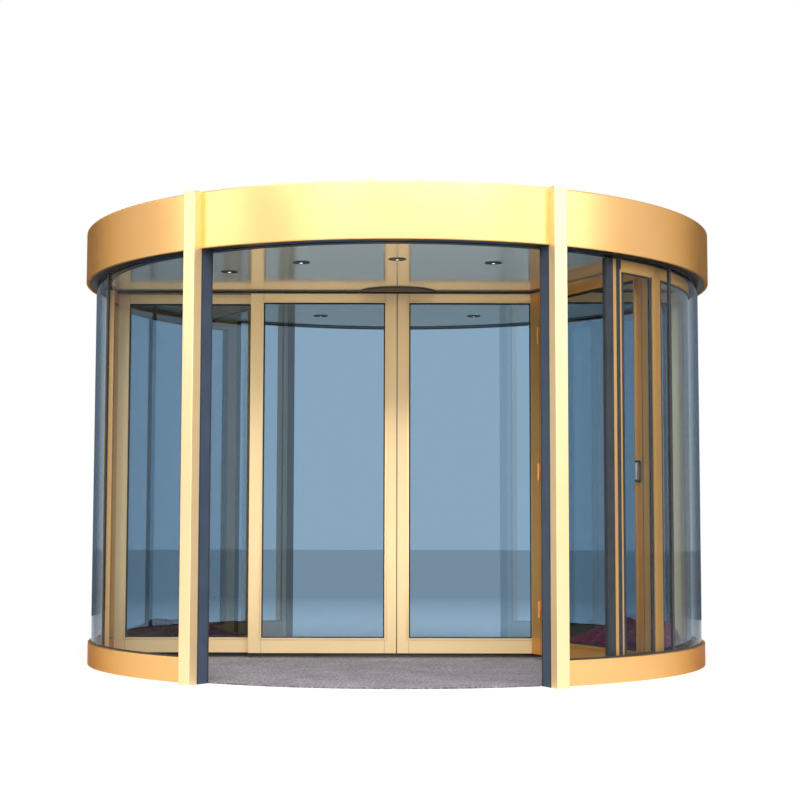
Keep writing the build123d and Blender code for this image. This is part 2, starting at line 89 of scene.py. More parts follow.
# ---- Studio -----------------------------------------------------------------
# A pale floor that runs on without a wall and a white surround. A broad soft lamp
# stands high in front of the door, with weaker ones at its sides, behind and
# overhead, and two dark cards behind it give the edges of the glass their depth.
class Wire:
    """A shader socket that Python's own operators work on, in its node tree."""

    def __init__(self, tree, socket=None):
        self.tree = tree
        self.socket = socket

    def node(self, kind, settings, sockets, output=0):
        """A node of a type, with its settings made first and then its sockets."""
        made = self.tree.nodes.new("ShaderNode" + kind)
        for name, value in settings.items():
            if name == "stops":
                stops = made.color_ramp.elements
                while len(stops) < len(value):
                    stops.new(1)
                for stop, (place, colour) in zip(stops, value):
                    stop.position = place
                    stop.color = (*colour, 1)
            else:
                setattr(made, name, value)
        for name, value in sockets.items():
            if isinstance(value, Wire):
                self.tree.links.new(value.socket, made.inputs[name])
            else:
                made.inputs[name].default_value = value
        return Wire(self.tree, made.outputs[output])

    def math(self, operation, first, second):
        return self.node("Math", {"operation": operation}, {0: first, 1: second})

    def __add__(self, other):
        return self.math("ADD", self, other)

    def __radd__(self, other):
        return self.math("ADD", other, self)

    def __sub__(self, other):
        return self.math("SUBTRACT", self, other)

    def __rsub__(self, other):
        return self.math("SUBTRACT", other, self)

    def __mul__(self, other):
        return self.math("MULTIPLY", self, other)

    def __rmul__(self, other):
        return self.math("MULTIPLY", other, self)

    def between(self, first, second):
        """A colour that goes from the first to the second with this value."""
        ends = [end if isinstance(end, Wire) else (*end, 1) for end in (first, second)]
        return self.node("Mix", {"data_type": "RGBA"}, {0: self, 6: ends[0], 7: ends[1]}, 2)

    def shown(self, mirrored, through):
        """1 for what the camera sees itself, less in a mirror or through glass."""
        seen, gloss, passed = (
            self.node("LightPath", {}, {}, kind)
            for kind in ("Is Camera Ray", "Is Glossy Ray", "Is Transmission Ray")
        )
        unseen = self.math("MAXIMUM", gloss * mirrored, passed * through)
        return self.math("MAXIMUM", seen, unseen)


def new_finish(name):
    """An empty material and the Wire of its tree."""
    made = bpy.data.materials.new(name)
    made.use_nodes = True
    return made, Wire(made.node_tree)


def shade(wire, sockets):
    """Sets or links sockets of the material's own shader."""
    shader = wire.tree.nodes["Principled BSDF"]
    for name, value in sockets.items():
        if isinstance(value, Wire):
            wire.tree.links.new(value.socket, shader.inputs[name])
        else:
            shader.inputs[name].default_value = value


def soft_box(name, size, place, aim, watts):
    """A broad lamp that points at a spot."""
    bpy.ops.object.light_add(type="AREA", location=place)
    box = bpy.context.object
    box.name = name
    box.data.shape = "RECTANGLE"
    box.data.size, box.data.size_y = size
    box.data.energy = watts
    box.rotation_mode = "QUATERNION"
    away = Vector(aim) - Vector(place)
    box.rotation_quaternion = away.to_track_quat("-Z", "Y")
    box.visible_camera = False
    box.visible_transmission = False


white = (1, 1, 1, 1)
room_light = 0.38
mirror_light = 0.80
floor_in_mirror = 0.65
floor_through_glass = 0.64
world = bpy.data.worlds.new("white_surround")
bpy.context.scene.world = world
world.use_nodes = True
world.node_tree.nodes.clear()
air = Wire(world.node_tree)
strength = air.math("MAXIMUM", air.shown(mirror_light, 1), room_light)
glow = air.node("Background", {}, {"Color": white, "Strength": strength})
world_end = world.node_tree.nodes.new("ShaderNodeOutputWorld")
world.node_tree.links.new(glow.socket, world_end.inputs["Surface"])

door_middle = (0, 0, 1.0)
soft_box("front_soft_box", (16, 5), (1.2, -11.0, 8.2), door_middle, 2000)
soft_box("right_soft_box", (6, 5), (12.5, -7.5, 6.5), door_middle, 300)
soft_box("left_soft_box", (6, 5), (-12.5, -7.5, 6.5), door_middle, 280)
soft_box("top_soft_box", (7, 7), (0, -1.0, 8.5), (0, 0, 0), 500)
soft_box("back_soft_box", (10, 5), (-1.2, 11.0, 8.2), door_middle, 380)

floor_radius = 40
floor_drop = 0.0005
shadow_reach = 2.5
glow_reach = 8.0
near_glow = 0.30
near_paint = 0.7
bpy.ops.object.select_all(action="DESELECT")
bpy.ops.mesh.primitive_circle_add(vertices=96, radius=floor_radius, fill_type="NGON")
floor = bpy.context.object
floor.name = "studio_floor"
floor.location.z = cad_box[0][2] - floor_drop
floor_paint, ground = new_finish("pale_floor")
spot = ground.node("TexCoord", {}, {}, "Object")
distance = ground.node("VectorMath", {"operation": "LENGTH"}, {0: spot}, "Value")
ramp = {"Value": distance, 1: shadow_reach, 2: glow_reach}
far = ground.node("MapRange", {}, {**ramp, 3: near_glow, 4: 1.0})
near = ground.node("MapRange", {}, {**ramp, 3: near_paint, 4: 0.0})
shade(
    ground,
    {
        "Base Color": near,
        "Roughness": 0.9,
        "Specular IOR Level": 0.0,
        "Emission Color": white,
        "Emission Strength": ground.shown(floor_in_mirror, floor_through_glass) * far,
    },
)
floor.data.materials.append(floor_paint)

card_size = (3.8, 4.2, 1)
card_aside = 4.3
card_shift = -0.3
card_behind = 3.6
card_middle = 2.1
card_turn = math.radians(20)
card_paint, card_wire = new_finish("dark_card")
shade(card_wire, {"Base Color": (0.1, 0.1, 0.11, 1), "Roughness": 1.0})
for name, side in (("dark_card_right", 1), ("dark_card_left", -1)):
    bpy.ops.object.select_all(action="DESELECT")
    bpy.ops.mesh.primitive_plane_add(size=1)
    card = bpy.context.object
    card.name = name
    card.scale = card_size
    card.location = (card_aside * side + card_shift, card_behind, card_middle)
    card.rotation_euler = (math.pi / 2, 0, -side * card_turn)
    card.data.materials.append(card_paint)
    card.visible_camera = False
    card.visible_diffuse = False
    card.visible_transmission = False
    card.visible_shadow = False


# ---- Base rings and posts ---------------------------------------------------
# Extruded posts and pressed rings of aluminium, anodised gold with a satin skin, pale on the posts.
# The sheet has a darker, more orange copy of the same gold: painted shade. The posts stand on the
# floor and carry the canopy; the base rings and the curved glass butt against their webs.
def cover(made, *names):
    """Gives CAD nodes a material."""
    for name in names:
        nodes[name].data.materials.clear()
        nodes[name].data.materials.append(made)


frame_gold = (1.0, 0.77, 0.45), (0.96, 0.69, 0.36)
# The sheet's tones are a darker, more orange copy of the same gold: painted shade.
clad_gold_painted_shade = (0.98, 0.60, 0.26), (0.93, 0.52, 0.18)
# The gloss turns dark red where the gold is seen edge on: painted shade for its darker sides.
gold_edge_shade_tint = (0.14, 0.0, 0.0, 1)
joint_shadow = (0.10, 0.06, 0.03)
upright_grain = (900, 900, 3)
sheet_grain = (60, 60, 60)


def gold_finish(name, grain, tones=frame_gold, metallic=0.75, roughness=0.34, joints=None):
    """Satin anodised gold in two tones. grain stretches an extrusion's drawing lines."""
    made, wire = new_finish(name)
    place = wire.node("TexCoord", {}, {}, "Object")
    drawn = wire.node("Mapping", {}, {"Vector": place, "Scale": grain})
    lines = wire.node("TexNoise", {}, {"Vector": drawn, "Scale": 1, "Detail": 3})
    cloud = wire.node("TexNoise", {}, {"Vector": place, "Scale": 2.2, "Detail": 5})
    wear = wire.node("TexNoise", {}, {"Vector": place, "Scale": 14, "Detail": 6})
    colour = cloud.between(*tones)
    height = lines * 0.3
    if joints:
        seam = joints(wire, place)
        colour = seam.between(colour, joint_shadow)
        height = height - seam * 4
    bump = wire.node("Bump", {}, {"Strength": 0.25, "Distance": 0.0002, "Height": height})
    shade(
        wire,
        {
            "Base Color": colour,
            "Metallic": metallic,
            "Roughness": roughness + lines * 0.10 + wear * 0.08,
            "Specular Tint": gold_edge_shade_tint,
            "Normal": bump,
        },
    )
    return made


upright_gold = gold_finish("gold_uprights", upright_grain)
sheet_gold_painted_shade = gold_finish("gold_sheet_painted_shade", sheet_grain, clad_gold_painted_shade, 0.9, 0.26)
post_names = ("front_right", "front_left", "rear_right", "rear_left")
cover(upright_gold, *[f"post_{name}" for name in post_names])
cover(sheet_gold_painted_shade, "base_ring_left", "base_ring_right")


# ---- Curved drum glass ------------------------------------------------------
# Bent laminated panes that stand on the base rings in black rubber, butt against the posts' webs
# and meet in upright black joints. The glass is nearly clear; where it is seen edge on, its colour
# turns dark navy, a painted reflection of dark surroundings.
def bare(obj):
    """Applies an object's place to its mesh, so that it sits at the origin."""
    bpy.ops.object.select_all(action="DESELECT")
    obj.select_set(True)
    bpy.context.view_layer.objects.active = obj
    bpy.ops.object.transform_apply(location=True, rotation=True, scale=True)


def one_piece(name, parts, made, body):
    """Joins parts to one piece that rides on a body."""
    bpy.ops.object.select_all(action="DESELECT")
    for part in parts:
        part.select_set(True)
    piece = parts[0]
    bpy.context.view_layer.objects.active = piece
    if len(parts) > 1:
        bpy.ops.object.join()
    piece.name = name
    piece.data.name = name
    if made:
        piece.data.materials.clear()
        piece.data.materials.append(made)
    bpy.ops.object.select_all(action="DESELECT")
    piece.select_set(True)
    bpy.ops.object.shade_smooth_by_angle(angle=math.radians(35))
    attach(piece, body)
    return piece


def arc_strip(inner, outer, bottom, top, start, end):
    """A strip bent round the door's axis: its end is spun through the angle."""
    middle = (inner + outer) / 2
    bpy.ops.object.select_all(action="DESELECT")
    bpy.ops.mesh.primitive_plane_add(
        size=1, location=(middle, 0, (bottom + top) / 2), rotation=(math.pi / 2, 0, 0)
    )
    strip = bpy.context.object
    strip.scale = (outer - inner, top - bottom, 1)
    bare(strip)
    strip.rotation_euler.z = end - math.pi / 2
    bare(strip)
    bpy.ops.object.mode_set(mode="EDIT")
    bpy.ops.mesh.select_all(action="SELECT")
    steps = max(2, round(math.degrees(end - start) / 2))
    bpy.ops.mesh.spin(steps=steps, angle=end - start, center=(0, 0, 0), axis=(0, 0, 1))
    bpy.ops.mesh.select_all(action="SELECT")
    bpy.ops.mesh.normals_make_consistent(inside=False)
    bpy.ops.object.mode_set(mode="OBJECT")
    return strip


def curved_loop(inner, outer, bottom, top, start, end, width, upright=None):
    """Four strips round the edge of a curved pane."""
    angle = (upright or width) / outer
    return [
        arc_strip(inner, outer, bottom, bottom + width, start, end),
        arc_strip(inner, outer, top - width, top, start, end),
        arc_strip(inner, outer, bottom + width, top - width, start, start + angle),
        arc_strip(inner, outer, bottom + width, top - width, end - angle, end),
    ]


def solids(node):
    """Corner points of each separate solid of a CAD node."""
    mesh = nodes[node].data
    keys = [tuple(round(value, 5) for value in vertex.co) for vertex in mesh.vertices]
    leader = {key: key for key in keys}

    def lead(key):
        while leader[key] != key:
            leader[key] = leader[leader[key]]
            key = leader[key]
        return key

    for face in mesh.polygons:
        first = lead(keys[face.vertices[0]])
        for corner in face.vertices[1:]:
            leader[lead(keys[corner])] = first
    groups = {}
    for key in leader:
        groups.setdefault(lead(key), []).append(Vector(key))
    return list(groups.values())


def bearings(points):
    """First and last bearing of points, from the front and anticlockwise."""
    middle = sum(points, Vector()) / len(points)
    heading = math.atan2(middle.x, -middle.y)
    turns = [math.atan2(p.x, -p.y) - heading for p in points]
    turns = [(turn + math.pi) % (2 * math.pi) - math.pi + heading for turn in turns]
    return min(turns), max(turns)


def rubber_finish(name, colour, roughness):
    """Moulded rubber with a faint bloom."""
    made, wire = new_finish(name)
    place = wire.node("TexCoord", {}, {}, "Object")
    bloom = wire.node("TexNoise", {}, {"Vector": place, "Scale": 9, "Detail": 6})
    pores = wire.node("TexNoise", {}, {"Vector": place, "Scale": 700, "Detail": 2})
    tone = bloom.between(colour, [0.03 + 1.2 * value for value in colour])
    bump = wire.node("Bump", {}, {"Strength": 0.2, "Distance": 0.0003, "Height": pores})
    shade(
        wire,
        {"Base Color": tone, "Roughness": roughness + bloom * 0.15, "Normal": bump},
    )
    return made


# Dark navy that the glass colour turns to where it is seen edge on: a painted reflection of dark
# surroundings.
dark_reflection_tint = (0.03, 0.09, 0.16)
dark_reflection_starts = 0.68
dark_reflection_full = 0.90


def glass_finish(name, tint, index, mirror, soak, density):
    """Float glass. tint colours its faces and soak deepens with the way through it. Seen edge on,
    its colour turns dark navy: a painted reflection of dark surroundings.
    """
    made, wire = new_finish(name)
    place = wire.node("TexCoord", {}, {}, "Object")
    ripple = wire.node("TexNoise", {}, {"Vector": place, "Scale": 1.3, "Detail": 1})
    bump = wire.node("Bump", {}, {"Strength": 0.02, "Distance": 0.02, "Height": ripple})
    aslant = wire.node("LayerWeight", {}, {"Blend": 0.5}, "Facing")
    slant = {"Value": aslant, 1: dark_reflection_starts, 2: dark_reflection_full, 3: 0.0, 4: 1.0}
    edge = wire.node("MapRange", {}, slant)
    shade(
        wire,
        {
            "Base Color": edge.between(tint, dark_reflection_tint),
            "Metallic": mirror,
            "Roughness": 0.0,
            "IOR": index,
            "Transmission Weight": 1.0,
            "Normal": bump,
        },
    )
    tree = made.node_tree
    passed = (*[math.sqrt(value) for value in tint], 1)
    open_to_lamps = wire.node("BsdfTransparent", {}, {"Color": passed})
    shadow = wire.node("LightPath", {}, {}, "Is Shadow Ray")
    body = Wire(tree, tree.nodes["Principled BSDF"].outputs[0])
    pane = wire.node("MixShader", {}, {0: shadow, 1: body, 2: open_to_lamps})
    tree.links.new(pane.socket, tree.nodes["Material Output"].inputs["Surface"])
    depth = wire.node("VolumeAbsorption", {}, {"Color": (*soak, 1), "Density": density})
    tree.links.new(depth.socket, tree.nodes["Material Output"].inputs["Volume"])
    return made


black_rubber = rubber_finish("black_rubber", (0.012, 0.013, 0.018), 0.5)
drum_glass = glass_finish(
    "drum_glass",
    tint=(0.96, 0.975, 0.975),
    index=1.07,
    mirror=0.0,
    soak=(0.50, 0.60, 0.68),
    density=24,
)
cover(drum_glass, "drum_glass_left", "drum_glass_right")
cover(black_rubber, "glass_joints")
rubber_width = 0.007
rubber_proud = 0.002
for side in ("right", "left"):
    panes = solids(f"drum_glass_{side}")
    every = [point for pane in panes for point in pane]
    reach = [math.hypot(p.x, p.y) for p in every]
    start, end = bearings(every)
    heights = [p.z for p in every]
    rubber = curved_loop(
        min(reach) - rubber_proud,
        max(reach) + rubber_proud,
        min(heights),
        max(heights),
        start,
        end,
        rubber_width,
    )
    one_piece(f"drum_gasket_{side}", rubber, black_rubber, "drum")


# ---- Safety edges -----------------------------------------------------------
# Soft navy rubber buffers with a switch strip inside, clipped upright on the sides
# of the posts that face the two openings. Black lips hold them along both edges.
def upright_frame(points):
    """Middle and directions of an upright flat thing, then its width, depth and height."""
    count = len(points)
    middle = sum(points, Vector()) / count
    spread = [
        sum((p[i] - middle[i]) * (p[j] - middle[j]) for p in points)
        for i, j in ((0, 0), (0, 1), (1, 1))
    ]
    turn = math.atan2(2 * spread[1], spread[0] - spread[2]) / 2
    along = Vector((math.cos(turn), math.sin(turn), 0))
    if along.dot(middle) < 0:
        along = -along
    up = Vector((0, 0, 1))
    across = up.cross(along)
    size = []
    centre = Vector()
    for direction in (along, across, up):
        reach = [p.dot(direction) for p in points]
        size.append(max(reach) - min(reach))
        centre += direction * (max(reach) + min(reach)) / 2
    place = Matrix((along, across, up)).transposed().to_4x4()
    place.translation = centre
    return place, size


def modify(obj, kind, **settings):
    """Adds a modifier and applies it."""
    bpy.ops.object.select_all(action="DESELECT")
    obj.select_set(True)
    bpy.context.view_layer.objects.active = obj
    modifier = obj.modifiers.new(kind.lower(), kind)
    for name, value in settings.items():
        setattr(modifier, name, value)
    bpy.ops.object.modifier_apply(modifier=modifier.name)


def block(place, size, bevel):
    """A bar with rounded edges."""
    bpy.ops.object.select_all(action="DESELECT")
    bpy.ops.mesh.primitive_cube_add(size=1)
    bar = bpy.context.object
    bar.scale = size
    bare(bar)
    modify(bar, "BEVEL", width=bevel, segments=2, limit_method="ANGLE")
    bar.matrix_world = place
    bare(bar)
    return bar


navy_rubber = rubber_finish("navy_rubber", (0.022, 0.042, 0.078), 0.42)
cover(navy_rubber, "safety_edges")
lip_width = 0.009
lip_proud = 0.0015
lips = []
for edge in solids("safety_edges"):
    place, (width, depth, height) = upright_frame(edge)
    for side in (-1, 1):
        shift = Matrix.Translation((side * (width - lip_width) / 2, 0, 0))
        size = (lip_width, depth + 2 * lip_proud, height - 0.002)
        lips.append(block(place @ shift, size, 0.001))
one_piece("safety_edge_lips", lips, black_rubber, "drum")


# ---- Canopy -----------------------------------------------------------------
# A ring beam clad in rolled gold sheet between the posts, with a near-black soffit that is painted
# shade, and a flat sheet roof in eight sectors, screwed down along the edge.
def metal_finish(name, colour, roughness, scale, tint_change=0.75, metallic=1.0):
    """Bare or painted metal with faint clouds and scuffs."""
    made, wire = new_finish(name)
    place = wire.node("TexCoord", {}, {}, "Object")
    cloud = wire.node("TexNoise", {}, {"Vector": place, "Scale": scale, "Detail": 6})
    scuff = wire.node("TexNoise", {}, {"Vector": place, "Scale": scale * 12, "Detail": 4})
    tone = cloud.between(colour, [value * tint_change for value in colour])
    bump = wire.node("Bump", {}, {"Strength": 0.15, "Distance": 0.0003, "Height": scuff})
    shade(
        wire,
        {
            "Base Color": tone,
            "Metallic": metallic,
            "Roughness": roughness + scuff * 0.12,
            "Normal": bump,
        },
    )
    return made


# Dark metal for bezels and brush holders; on the soffit and the head track it is painted shade.
dark_metal_and_painted_shade = metal_finish("dark_metal_and_painted_shade", (0.035, 0.037, 0.045), 0.32, 3)
roof_metal = metal_finish("roof_metal", (0.30, 0.31, 0.31), 0.62, 1.5, metallic=0.2)
bare_steel = metal_finish("bare_steel", (0.55, 0.55, 0.56), 0.3, 6)
cover(sheet_gold_painted_shade, "fascia_front", "fascia_right", "fascia_rear", "fascia_left")
# The soffit's near black is painted shade under the canopy's overhang.
cover(dark_metal_and_painted_shade, "canopy_soffit")
cover(bare_steel, "track_ring")
cover(roof_metal, "canopy_roof")
roof_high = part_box("canopy_roof")[1]
roof_radius = roof_high.x
seam_width = 0.022
seam_height = 0.0024
seam_shift = 0.03
seam_short = 0.1
seams = []
for sector in range(8):
    turn = Matrix.Rotation(math.radians(45 * sector), 4, "Z")
    reach = roof_radius / 2 + seam_shift
    centre = Matrix.Translation((reach, 0, roof_high.z + seam_height / 2))
    size = (roof_radius - seam_short, seam_width, seam_height)
    seams.append(block(turn @ centre, size, 0.0008))
one_piece("roof_seams", seams, roof_metal, "drum")

screw_count = 48
screw_radius = 0.006
screw_inset = 0.022
bpy.ops.object.select_all(action="DESELECT")
bpy.ops.mesh.primitive_cylinder_add(vertices=20, radius=screw_radius, depth=seam_height)
screw = bpy.context.object
modify(screw, "BEVEL", width=0.0007, segments=2, limit_method="ANGLE")
screws = []
screw_height = roof_high.z + seam_height / 2
reach = roof_radius - screw_inset
for turn in range(screw_count):
    copy = screw.copy()
    copy.data = screw.data.copy()
    bpy.context.collection.objects.link(copy)
    bearing = math.radians(360 / screw_count * (turn + 0.5))
    copy.location = (reach * math.sin(bearing), reach * math.cos(bearing), screw_height)
    bare(copy)
    screws.append(copy)
bpy.data.objects.remove(screw)
one_piece("roof_screws", screws, bare_steel, "drum")


# ---- Ceiling, hub and track -------------------------------------------------
# The ceiling turns with the wings: one disc of polished pale sheet with a black rim, a two-piece
# black cap over the pivot and the track that the leaves hang from, coloured black as painted shade
# in the gap above them.
def sheet_finish():
    """Polished sheet that waves a little and bears wipe marks."""
    made, wire = new_finish("ceiling_sheet")
    place = wire.node("TexCoord", {}, {}, "Object")
    wave = wire.node("TexNoise", {}, {"Vector": place, "Scale": 2.5, "Detail": 2})
    wipe = wire.node("TexNoise", {}, {"Vector": place, "Scale": 9, "Detail": 7})
    tone = wipe.between((1.0, 0.88, 0.66), (0.92, 0.80, 0.57))
    bump = wire.node("Bump", {}, {"Strength": 0.10, "Distance": 0.01, "Height": wave})
    shade(
        wire,
        {
            "Base Color": tone,
            "Metallic": 0.6,
            "Roughness": 0.06 + wipe * 0.12,
            "Normal": bump,
        },
    )
    return made


black_paint = metal_finish("black_paint", (0.010, 0.009, 0.014), 0.42, 5, metallic=0.0)
cover(sheet_finish(), "ceiling_panel")
# The head track's black is painted shade in the gap between the door heads and the ceiling.
cover(dark_metal_and_painted_shade, "ceiling_rim", "head_track")
cover(black_paint, "hub_cap")
cover(black_rubber, "wing_head_seals", "wing_seals")
rim_width = 0.008
rim_drop = 0.0015
rims = []
for half in solids("hub_cap"):
    start, end = bearings(half)
    low = min(p.z for p in half)
    reach = max(math.hypot(p.x, p.y) for p in half)
    rims.append(arc_strip(reach - rim_width, reach, low - rim_drop, low, start, end))
one_piece("hub_cap_rims", rims, black_paint, "rotor")


# ---- Downlights -------------------------------------------------------------
# Round recessed fittings in the ceiling: a dark turned bezel and cone, and a small
# frosted lens, lit warm, at its back.
def lens_finish():
    """Frosted lens with a little dust on it."""
    made, wire = new_finish("lamp_lens")
    place = wire.node("TexCoord", {}, {}, "Object")
    dust = wire.node("TexNoise", {}, {"Vector": place, "Scale": 60, "Detail": 5})
    bump = wire.node("Bump", {}, {"Strength": 0.1, "Distance": 0.0002, "Height": dust})
    shade(
        wire,
        {
            "Base Color": (0.85, 0.84, 0.80, 1),
            "Metallic": 0.0,
            "Roughness": 0.4 + dust * 0.15,
            "Emission Color": (1.0, 0.93, 0.80, 1),
            "Emission Strength": 2.0,
            "Normal": bump,
        },
    )
    return made


def push(up, shrink):
    """Pushes the selected face up and draws it in."""
    bpy.ops.mesh.extrude_region_move(TRANSFORM_OT_translate={"value": (0, 0, up)})
    bpy.ops.transform.resize(value=(shrink, shrink, 1))


frosted_lens = lens_finish()
bezel_depth = 0.0025
bezel_width = 0.009
cone_steps = (0.005, 0.97), (0.004, 0.42)
lens_steps = (-0.0085, 0.95), (-0.002, 0.6)
fittings = []
for can in solids("downlights"):
    low = min(p.z for p in can)
    middle = sum(can, Vector()) / len(can)
    outer = (max(p.x for p in can) - min(p.x for p in can)) / 2
    bpy.ops.object.select_all(action="DESELECT")
    bpy.ops.mesh.primitive_cylinder_add(
        vertices=48, radius=outer, depth=bezel_depth, location=(0, 0, bezel_depth / 2)
    )
    fitting = bpy.context.object
    bare(fitting)
    fitting.data.materials.append(dark_metal_and_painted_shade)
    fitting.data.materials.append(frosted_lens)
    bpy.ops.object.mode_set(mode="EDIT")
    bpy.ops.mesh.select_all(action="DESELECT")
    bpy.ops.object.mode_set(mode="OBJECT")
    for face in fitting.data.polygons:
        face.select = face.normal.z < -0.9
    bpy.ops.object.mode_set(mode="EDIT")
    bpy.ops.mesh.select_mode(type="FACE")
    bpy.ops.mesh.inset(thickness=bezel_width)
    for up, shrink in cone_steps:
        push(up, shrink)
    fitting.active_material_index = 1
    for up, shrink in lens_steps:
        push(up, shrink)
        bpy.ops.object.material_slot_assign()
    bpy.ops.object.mode_set(mode="OBJECT")
    modify(fitting, "BEVEL", width=0.0006, segments=2, limit_method="ANGLE", angle_limit=0.9)
    fitting.location = (middle.x, middle.y, low)
    bare(fitting)
    fittings.append(fitting)
downlights = one_piece("downlight_fittings", fittings, None, "rotor")
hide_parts("downlights")


# ---- Rotor frames -----------------------------------------------------------
# Wings, side panels, sliding leaves and showcase doors are gold aluminium frames with butt joints.
# The wings and doors get a darker, more orange copy of the gold: painted shade. Black gaskets and
# snapped-in beads hold the glass from both sides: tinted in the middle wall, clearer elsewhere.
def flat_loop(place, width, height, band, depth, bevel):
    """A ring round a window: an inset sheet, thickened."""
    bpy.ops.object.select_all(action="DESELECT")
    bpy.ops.mesh.primitive_plane_add(size=1, rotation=(math.pi / 2, 0, 0))
    loop = bpy.context.object
    loop.scale = (width, height, 1)
    bare(loop)
    bpy.ops.object.mode_set(mode="EDIT")
    bpy.ops.mesh.select_all(action="SELECT")
    bpy.ops.mesh.inset(thickness=band)
    bpy.ops.mesh.delete(type="FACE")
    bpy.ops.object.mode_set(mode="OBJECT")
    modify(loop, "SOLIDIFY", thickness=depth, offset=0)
    modify(loop, "BEVEL", width=bevel, segments=2, limit_method="ANGLE")
    loop.matrix_world = place
    bare(loop)
    return loop


hairline = 0.0006


def butt_joints(place, width, height):
    """Hairlines beside a window, where the rails meet the stiles."""
    turn = place.to_euler().z
    back = Matrix.Rotation(-turn, 3, "Z") @ place.translation

    def seam(wire, spot):
        local = wire.node(
            "Mapping", {}, {"Vector": spot, "Rotation": (0, 0, -turn), "Location": -back}
        )
        parts = wire.node("SeparateXYZ", {}, {"Vector": local})
        along = Wire(wire.tree, parts.socket.node.outputs["X"])
        upward = Wire(wire.tree, parts.socket.node.outputs["Z"])
        aside = wire.math("ABSOLUTE", along, 0) - width / 2
        line = wire.math("LESS_THAN", wire.math("ABSOLUTE", aside, 0), hairline)
        return line * wire.math("GREATER_THAN", wire.math("ABSOLUTE", upward, 0), height / 2)

    return seam


rotor_glass = glass_finish(
    "rotor_glass",
    tint=(0.58, 0.72, 0.83),
    index=1.3,
    mirror=0.12,
    soak=(0.30, 0.52, 0.66),
    density=130,
)
wing_glass = glass_finish(
    "wing_glass",
    tint=(0.88, 0.91, 0.92),
    index=1.15,
    mirror=0.0,
    soak=(0.45, 0.56, 0.64),
    density=24,
)
level_grain = (3, 3, 900)
level_gold = gold_finish("gold_rails", level_grain)
# The wing tones are a darker, more orange copy of the gold: painted shade for the wings and doors.
wing_painted_shade_tones = (0.90, 0.50, 0.18), (0.82, 0.43, 0.13)
wing_upright_shaded_gold = gold_finish("shaded_gold_wing_uprights", upright_grain, wing_painted_shade_tones)
wing_level_shaded_gold = gold_finish("shaded_gold_wing_rails", level_grain, wing_painted_shade_tones)
gasket_width = 0.008
wide_gasket = 0.026
gasket_proud = 0.0015
bead_width = 0.012
bead_proud = 0.0015
stile_reach = 0.08
frame_reach = 0.05


def glaze_flat(name, pane, frame_node, body, bead_gold):
    """Gasket and beads of one flat pane."""
    place, (width, depth, height) = upright_frame(pane)
    to_pane = place.inverted()
    rubber = flat_loop(place, width, height, gasket_width, depth + 2 * gasket_proud, 0.001)
    one_piece(f"{name}_gasket", [rubber], black_rubber, body)
    near = [to_pane @ p for solid in solids(frame_node) for p in solid]
    near = [p for p in near if abs(p.x) < width / 2 + stile_reach and abs(p.y) < frame_reach]
    low = min(p.y for p in near) - bead_proud
    high = max(p.y for p in near) + bead_proud
    shift = Matrix.Translation((0, (low + high) / 2, 0))
    bead = flat_loop(
        place @ shift,
        width + 2 * bead_width,
        height + 2 * bead_width,
        bead_width,
        high - low,
        0.001,
    )
    one_piece(f"{name}_beads", [bead], bead_gold, body)
    return butt_joints(place, width, height)


def glaze_curved(name, panes, inner, outer, body):
    """Gaskets and beads of the curved panes of one wing."""
    rubber = []
    beads = []
    for pane in panes:
        reach = [math.hypot(p.x, p.y) for p in pane]
        bottom = min(p.z for p in pane)
        top = max(p.z for p in pane)
        start, end = bearings(pane)
        near, away = min(reach) - gasket_proud, max(reach) + gasket_proud
        band = (bottom, top, start, end, gasket_width, wide_gasket)
        rubber += curved_loop(near, away, *band)
        more = bead_width / outer
        beads += curved_loop(
            inner - bead_proud,
            outer + bead_proud,
            bottom - bead_width,
            top + bead_width,
            start - more,
            end + more,
            bead_width,
        )
    one_piece(f"{name}_gaskets", rubber, black_rubber, body)
    one_piece(f"{name}_beads", beads, wing_level_shaded_gold, body)


cover(wing_upright_shaded_gold, "jamb_posts", "wing_stiles_left", "wing_stiles_right")
cover(wing_level_shaded_gold, "wing_rails_left", "wing_rails_right")
cover(rotor_glass, "side_panel_glass")
cover(wing_glass, "wing_glass_left", "wing_glass_right")
panel_panes = {}
for pane in solids("side_panel_glass"):
    panel_panes["right" if sum(p.x for p in pane) > 0 else "left"] = pane
for side in ("right", "left"):
    cover(rotor_glass, f"leaf_glass_{side}")
    cover(wing_glass, f"showcase_door_glass_{side}")
    reach = [math.hypot(p.x, p.y) for s in solids(f"wing_rails_{side}") for p in s]
    glaze_curved(
        f"wing_{side}", solids(f"wing_glass_{side}"), min(reach), max(reach), "rotor"
    )
    for kind, pane, node, body in (
        ("leaf", solids(f"leaf_glass_{side}")[0], f"leaf_frame_{side}", f"{side}_leaf"),
        ("side_panel", panel_panes[side], f"side_panel_{side}", "rotor"),
        (
            "showcase_door",
            solids(f"showcase_door_glass_{side}")[0],
            f"showcase_door_{side}",
            f"{side}_showcase_door",
        ),
    ):
        swings = kind == "showcase_door"
        bead_gold = wing_level_shaded_gold if swings else level_gold
        seam = glaze_flat(f"{kind}_{side}", pane, node, body, bead_gold)
        # Showcase doors take the darker copy of the gold, which is painted shade.
        tones = wing_painted_shade_tones if swings else frame_gold
        cover(gold_finish(f"gold_{kind}_{side}", upright_grain, tones, joints=seam), node)


